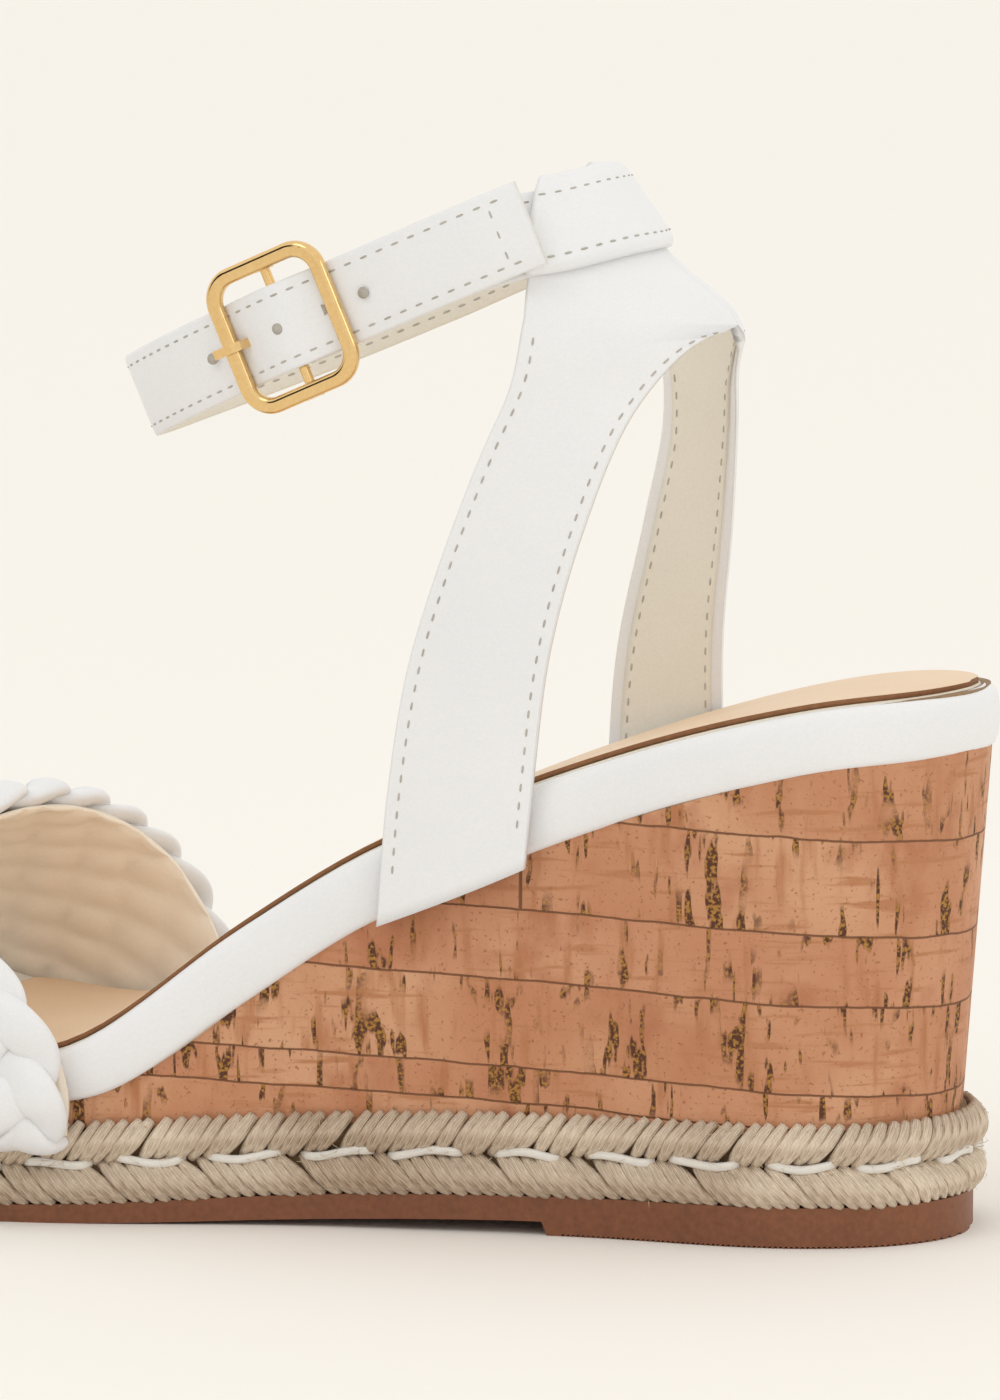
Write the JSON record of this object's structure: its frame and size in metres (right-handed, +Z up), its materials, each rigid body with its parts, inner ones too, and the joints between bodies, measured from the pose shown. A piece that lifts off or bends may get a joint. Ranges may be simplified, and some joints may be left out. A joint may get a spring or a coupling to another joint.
{
  "type": "wedge espadrille sandal",
  "caption": "Left wedge sandal: plaited vamp strap, two-legged heel quarter with tunnel, buckled ankle strap, cork-wrapped wedge, rope rand and rubber sole",
  "frame": {"origin": "on the ground, under the middle of the raised heel pad, on one of its ribs", "axes": "toe to -X, heel to +X, lateral (outer) side to -Y, medial side to +Y, +Z up"},
  "size_m": [0.2423, 0.095, 0.1839],
  "materials": {
    "outsole_rubber": "matte brown moulded rubber with a fine ribbed heel pad",
    "jute_rope": "natural jute plies, matte and hairy",
    "cotton_stitch": "flat white cotton thread",
    "cork_veneer": "natural cork veneer with dark lenticels, matte",
    "wedge_foam": "light moulded core, hidden",
    "fibre_board": "pressed fibre board, hidden",
    "white_leather": "white polyurethane leather, satin, fine grain",
    "sock_leather": "beige lining leather, matte",
    "cream_lining": "cream lining, matte",
    "vamp_lining": "beige lining, matte",
    "cream_padding": "thin cream felt padding",
    "gold_metal": "polished pale gold plating"
  },
  "bodies": {
    "upper_and_sole": {"outsole": "outsole_rubber", "wedge_core": "wedge_foam", "cork_wrap": "cork_veneer", "jute_rope_lower": "jute_rope", "jute_rope_upper": "jute_rope", "rope_stitches": "cotton_stitch", "platform_core": "wedge_foam", "platform_wrap": "white_leather", "insole_board": "fibre_board", "sock_padding": "cream_padding", "sock_lining": "sock_leather", "toe_cover": "white_leather", "quarter_lining": "cream_lining", "quarter_outer": "white_leather", "tunnel_cuff": "white_leather", "strap_rear": "white_leather", "vamp_plait": "white_leather", "vamp_lining": "vamp_lining"},
    "ankle_strap": {"strap_loop": "white_leather", "strap_loop_lining": "cream_lining", "strap_chape": "white_leather", "buckle_frame": "gold_metal"},
    "strap_end": {"strap_tail": "white_leather", "strap_tail_lining": "cream_lining"},
    "prong": {"buckle_prong": "gold_metal"}
  },
  "joints": [
    {"name": "ankle_strap_swing", "type": "hinge", "parent": "upper_and_sole", "child": "ankle_strap", "pos_m": [-0.048, 0, 0.1693], "axis": [0, 1, 0], "range_deg": [-6, 6], "stiffness_Nm_per_rad": 0.3},
    {"name": "strap_tail_flex", "type": "hinge", "parent": "ankle_strap", "child": "strap_end", "pos_m": [-0.06291, -0.0286, 0.16297], "axis": [0.3907, 0, -0.9205], "range_deg": [0, 25], "stiffness_Nm_per_rad": 0.02},
    {"name": "prong_lift", "type": "hinge", "parent": "ankle_strap", "child": "prong", "pos_m": [-0.08066, -0.02568, 0.15543], "axis": [-0.3907, 0, 0.9205], "range_deg": [0, 4], "stiffness_Nm_per_rad": 0.005}
  ]
}
